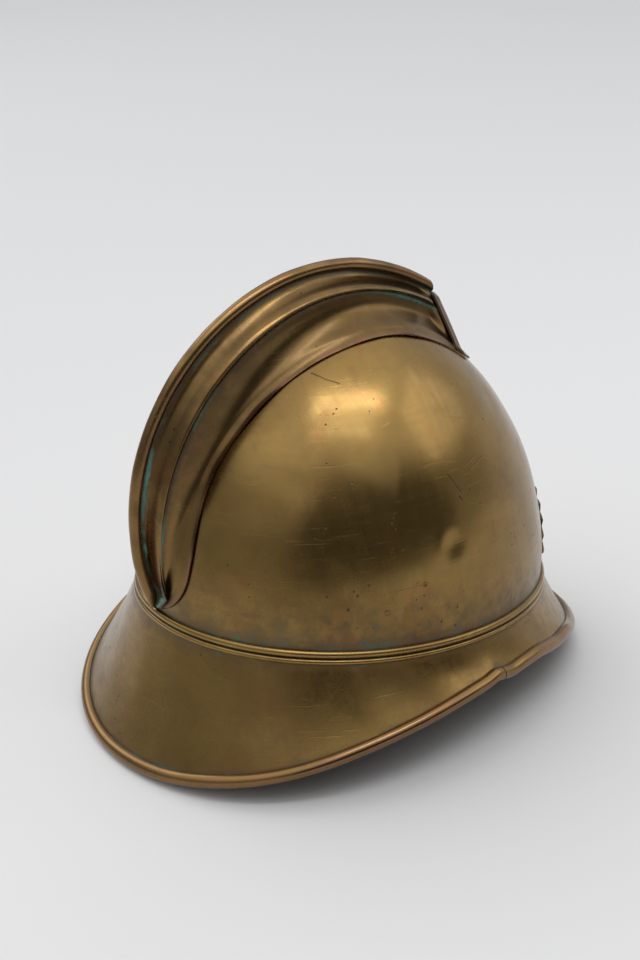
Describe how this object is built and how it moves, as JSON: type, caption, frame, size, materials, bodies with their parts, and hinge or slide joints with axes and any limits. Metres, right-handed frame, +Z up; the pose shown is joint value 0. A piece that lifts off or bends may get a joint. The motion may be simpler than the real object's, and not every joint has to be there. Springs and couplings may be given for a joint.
{
  "type": "firefighter helmet",
  "caption": "Brass fire helmet with a beaded, flared brim, a tall ribbed comb, a rayed front plate, a leather liner and an unfastened chin strap.",
  "frame": {"origin": "middle of the plan of the whole helmet, on the table that the rolled edge stands on", "axes": "+Z up, -Y to the front of the helmet, +X to the wearer's left; the helmet stands on the rear and front of its edge, tipped forward by 6.3 degrees"},
  "size_m": [0.2458, 0.3026, 0.2434],
  "materials": {
    "brass_skull": "aged, satin, dark spots",
    "brass_comb": "aged, brown and coppery",
    "brass_edge": "aged, rubbed bright on its crown",
    "brass_plate": "dark patina",
    "brass_fitting": "dull",
    "iron_wire": "dark",
    "steel_screw": "dull, tarnished",
    "liner_leather": "worn, dark at the brow",
    "tongue_leather": "worn",
    "strap_leather": "waxed, creased",
    "lace_cord": "undyed twisted cord"
  },
  "bodies": {
    "helmet": {"skull": "brass_skull", "edge_wire": "iron_wire", "edge_roll_rear": "brass_edge", "edge_roll_front": "brass_edge", "comb_half_right": "brass_comb", "comb_half_left": "brass_comb", "comb_crest_roll": "brass_comb", "comb_front_plate": "brass_comb", "comb_saddles": "brass_fitting", "comb_screws": "steel_screw", "comb_washers": "steel_screw", "comb_nuts": "steel_screw", "badge_plate": "brass_plate", "badge_studs": "brass_fitting", "badge_nuts": "brass_fitting", "liner_ring": "brass_fitting", "liner_brackets": "brass_fitting", "liner_rivets": "brass_fitting", "sweatband": "liner_leather", "crown_lace": "lace_cord", "tongue_1": "tongue_leather", "tongue_2": "tongue_leather", "tongue_3": "tongue_leather", "tongue_4": "tongue_leather", "tongue_5": "tongue_leather", "tongue_6": "tongue_leather", "tongue_7": "tongue_leather", "tongue_8": "tongue_leather", "strap_lug_right": "brass_fitting", "strap_lug_left": "brass_fitting", "lug_rivets": "brass_fitting"},
    "long_strap": {"long_strap": "strap_leather", "long_strap_eyelet": "brass_fitting"},
    "short_strap": {"short_strap": "strap_leather", "short_strap_eyelet": "brass_fitting", "buckle_frame": "brass_fitting"},
    "prong": {"buckle_prong": "brass_fitting"},
    "keeper": {"strap_keeper": "strap_leather"}
  },
  "joints": [
    {"name": "long_strap_swing", "type": "hinge", "parent": "helmet", "child": "long_strap", "pos_m": [0, 0.01933, 0.09208], "axis": [1, 0, 0], "range_deg": [-9, 70]},
    {"name": "short_strap_swing", "type": "hinge", "parent": "helmet", "child": "short_strap", "pos_m": [0, 0.01933, 0.09208], "axis": [1, 0, 0], "range_deg": [-6, 64]},
    {"name": "prong_swing", "type": "hinge", "parent": "short_strap", "child": "prong", "pos_m": [0.07331, -0.06535, 0.01932], "axis": [0, -0.6517, 0.7585], "range_deg": [0, 90]},
    {"name": "keeper_slide", "type": "slide", "parent": "short_strap", "child": "keeper", "axis": [0, -0.7585, -0.6517], "range_m": [-0.008, 0.014]}
  ]
}
